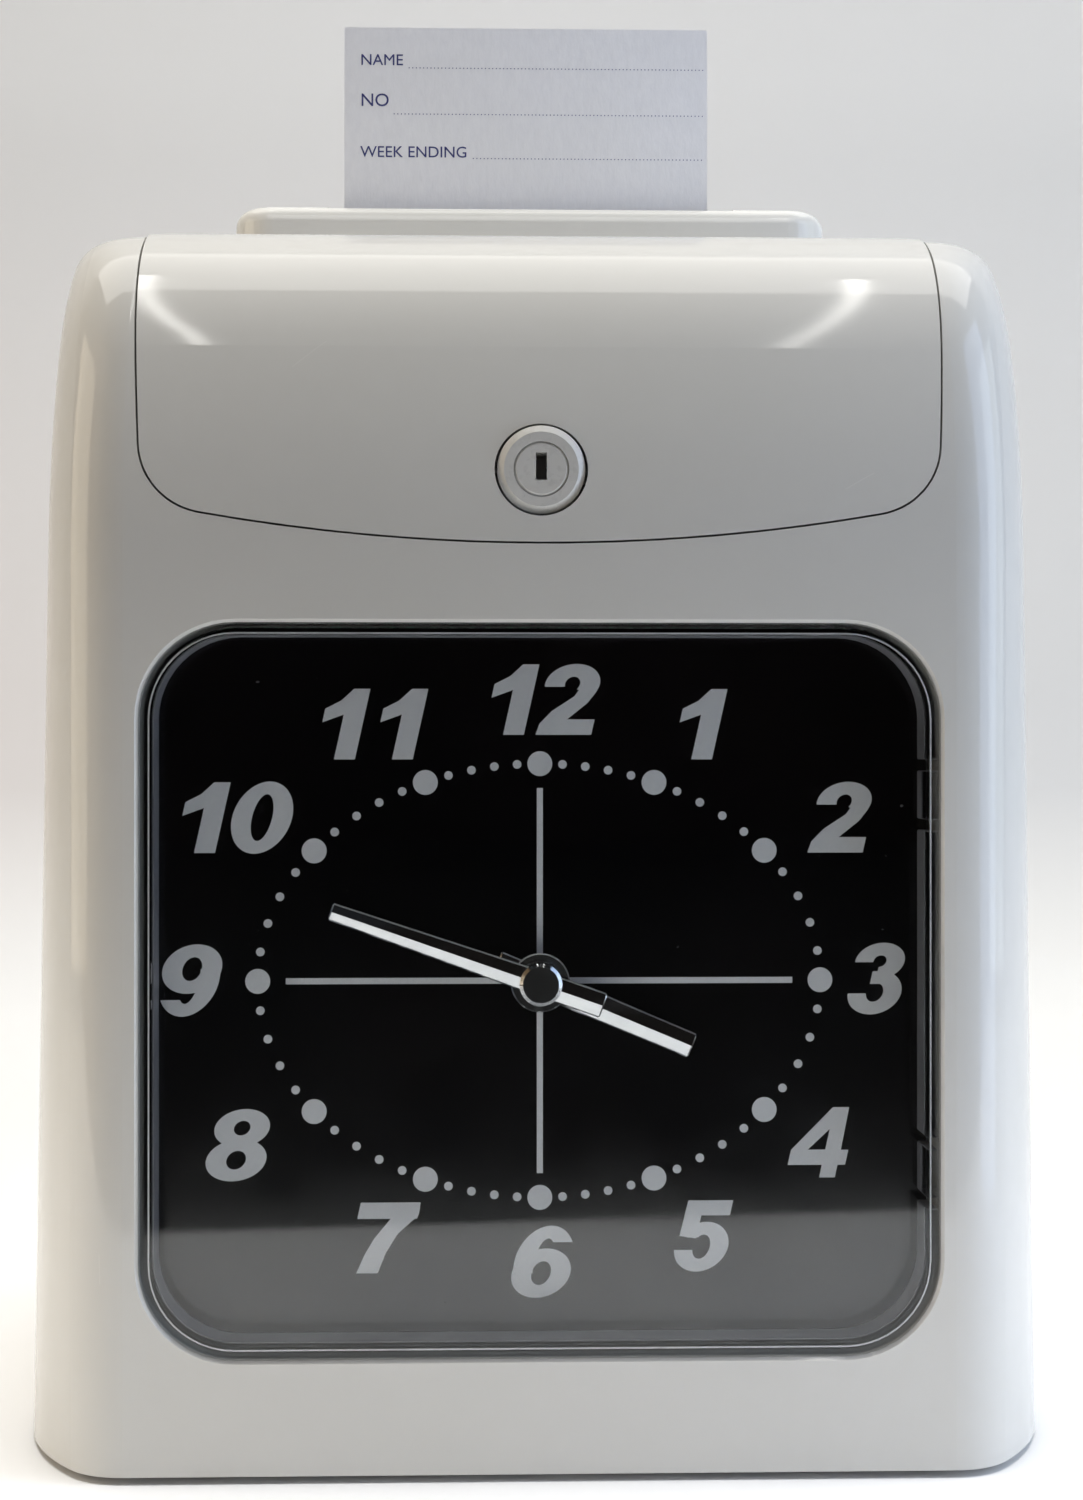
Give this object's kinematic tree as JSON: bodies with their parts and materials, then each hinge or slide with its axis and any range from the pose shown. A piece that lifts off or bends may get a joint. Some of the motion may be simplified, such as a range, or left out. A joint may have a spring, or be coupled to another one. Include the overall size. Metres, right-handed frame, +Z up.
{
  "type": "punch time clock",
  "caption": "Punch time clock with a rounded plastic case, lockable hinged lid, glazed analogue dial and a top slot that feeds a time card past a print head.",
  "frame": {"origin": "centre of the footprint, on the surface that the feet stand on", "axes": "+Z up, -Y towards the user and out of the dial, +X to the user's right"},
  "size_m": [0.2084, 0.134, 0.3095],
  "materials": {
    "case_plastic": "smooth moulded ABS, satin gloss",
    "clear_cover": "clear polycarbonate, polished",
    "dial_black": "black lacquer",
    "dial_print": "grey screen print",
    "hand_chrome": "bright plated",
    "lock_finish": "satin off-white enamel",
    "steel": "zinc plated sheet",
    "turned_steel": "turned",
    "brass": "cut gears",
    "rubber": "matt black",
    "card_paper": "lavender grey card",
    "black_plastic": "moulded, fine texture",
    "grey_plastic": "moulded, fine texture",
    "ribbon": "inked woven nylon",
    "board": "solder mask",
    "laminate": "varnished laminations",
    "battery_wrap": "shrink wrap",
    "readout": "grey green display window",
    "button_plastic": "moulded keys"
  },
  "bodies": {
    "case": {"front_case": "case_plastic", "rear_case": "case_plastic", "slot_collar": "case_plastic", "window_cover": "clear_cover", "hinge_knuckles": "case_plastic", "hinge_pins": "turned_steel", "dial_plate": "dial_black", "dial_markers": "dial_print", "dial_numerals": "dial_print", "movement_frame": "steel", "clock_motor": "turned_steel", "chassis_left": "steel", "chassis_right": "steel", "chassis_tray": "steel", "card_guide_front": "steel", "card_guide_rear": "steel", "platen": "rubber", "carriage_rail": "turned_steel", "pinch_bracket": "steel", "feed_motor": "turned_steel", "carriage_motor": "turned_steel", "ribbon_cassette": "black_plastic", "ink_ribbon": "ribbon", "setting_panel": "grey_plastic", "readout_window": "readout", "panel_board": "board", "main_board": "board", "board_parts": "black_plastic", "board_spacers": "brass", "transformer": "laminate", "backup_battery": "battery_wrap", "power_inlet": "black_plastic", "rubber_feet": "rubber", "case_screws": "turned_steel"},
    "lid": {"top_lid": "case_plastic", "lock_body": "lock_finish", "lock_nut": "turned_steel"},
    "lock": {"lock_cylinder": "lock_finish", "lock_cam": "steel"},
    "minute": {"minute_hand": "hand_chrome", "hand_cap": "hand_chrome", "minute_arbor": "brass"},
    "hour": {"hour_hand": "hand_chrome", "hour_wheel": "brass"},
    "intermediate": {"minute_wheel": "brass"},
    "clock_rotor": {"motor_pinion": "brass"},
    "card": {"time_card": "card_paper"},
    "feed": {"feed_shaft": "turned_steel", "feed_rollers": "rubber"},
    "pinch": {"pinch_rollers": "black_plastic"},
    "feed_rotor": {"feed_pinion": "brass"},
    "carriage": {"print_carriage": "black_plastic", "print_head": "steel"},
    "screw": {"lead_screw": "turned_steel"},
    "screw_rotor": {"screw_pinion": "brass"},
    "spool": {"ribbon_spool": "grey_plastic"},
    "key_1": {"button_1": "button_plastic"},
    "key_2": {"button_2": "button_plastic"},
    "key_3": {"button_3": "button_plastic"},
    "key_4": {"button_4": "button_plastic"}
  },
  "joints": [
    {"name": "lid_hinge", "type": "hinge", "parent": "case", "child": "lid", "pos_m": [0, 0.012, 0.24638], "axis": [-1, 0, 0], "range_deg": [0, 85]},
    {"name": "lock_turn", "type": "hinge", "parent": "lid", "child": "lock", "pos_m": [0, -0.057, 0.1945], "axis": [0, 1, 0], "range_deg": [0, 90]},
    {"name": "minute_turn", "type": "hinge", "parent": "case", "child": "minute", "pos_m": [0, -0.047, 0.095], "axis": [0, 1, 0], "continuous": true},
    {"name": "hour_turn", "type": "hinge", "parent": "case", "child": "hour", "pos_m": [0, -0.055, 0.095], "axis": [0, 1, 0], "continuous": true},
    {"name": "intermediate_turn", "type": "hinge", "parent": "case", "child": "intermediate", "pos_m": [0, -0.049, 0.083], "axis": [0, 1, 0], "continuous": true},
    {"name": "clock_rotor_turn", "type": "hinge", "parent": "case", "child": "clock_rotor", "pos_m": [0, -0.041, 0.0775], "axis": [0, 1, 0], "continuous": true},
    {"name": "card_slide", "type": "slide", "parent": "case", "child": "card", "axis": [0, 0, 1], "range_m": [-0.025, 0.15]},
    {"name": "feed_turn", "type": "hinge", "parent": "case", "child": "feed", "pos_m": [0, 0.0332, 0.17], "axis": [1, 0, 0], "continuous": true},
    {"name": "pinch_turn", "type": "hinge", "parent": "case", "child": "pinch", "pos_m": [0, 0.0208, 0.17], "axis": [1, 0, 0], "continuous": true},
    {"name": "feed_rotor_turn", "type": "hinge", "parent": "case", "child": "feed_rotor", "pos_m": [-0.075, 0.044, 0.15713], "axis": [1, 0, 0], "continuous": true},
    {"name": "carriage_slide", "type": "slide", "parent": "case", "child": "carriage", "axis": [1, 0, 0], "range_m": [-0.03, 0.03]},
    {"name": "screw_turn", "type": "hinge", "parent": "case", "child": "screw", "pos_m": [0, 0.003, 0.22], "axis": [1, 0, 0], "continuous": true},
    {"name": "screw_rotor_turn", "type": "hinge", "parent": "case", "child": "screw_rotor", "pos_m": [-0.075, -0.00715, 0.21631], "axis": [1, 0, 0], "continuous": true},
    {"name": "spool_turn", "type": "hinge", "parent": "case", "child": "spool", "pos_m": [0.042, -0.004, 0.236], "axis": [0, 0, 1], "continuous": true},
    {"name": "key_1_press", "type": "slide", "parent": "case", "child": "key_1", "axis": [0, 0, -1], "range_m": [0, 0.0012], "stiffness_N_per_m": 200, "springref_m": -0.001},
    {"name": "key_2_press", "type": "slide", "parent": "case", "child": "key_2", "axis": [0, 0, -1], "range_m": [0, 0.0012], "stiffness_N_per_m": 200, "springref_m": -0.001},
    {"name": "key_3_press", "type": "slide", "parent": "case", "child": "key_3", "axis": [0, 0, -1], "range_m": [0, 0.0012], "stiffness_N_per_m": 200, "springref_m": -0.001},
    {"name": "key_4_press", "type": "slide", "parent": "case", "child": "key_4", "axis": [0, 0, -1], "range_m": [0, 0.0012], "stiffness_N_per_m": 200, "springref_m": -0.001}
  ],
  "couplings": [
    {"joint": "hour_turn", "follows": "minute_turn", "ratio": 0.083333},
    {"joint": "intermediate_turn", "follows": "minute_turn", "ratio": -0.33333},
    {"joint": "clock_rotor_turn", "follows": "minute_turn", "ratio": -6},
    {"joint": "feed_turn", "follows": "card_slide", "rad_per_m": -142.86},
    {"joint": "pinch_turn", "follows": "card_slide", "rad_per_m": 200},
    {"joint": "feed_rotor_turn", "follows": "card_slide", "rad_per_m": 357.14},
    {"joint": "screw_turn", "follows": "carriage_slide", "rad_per_m": 523.6},
    {"joint": "screw_rotor_turn", "follows": "carriage_slide", "rad_per_m": -1047.2}
  ]
}
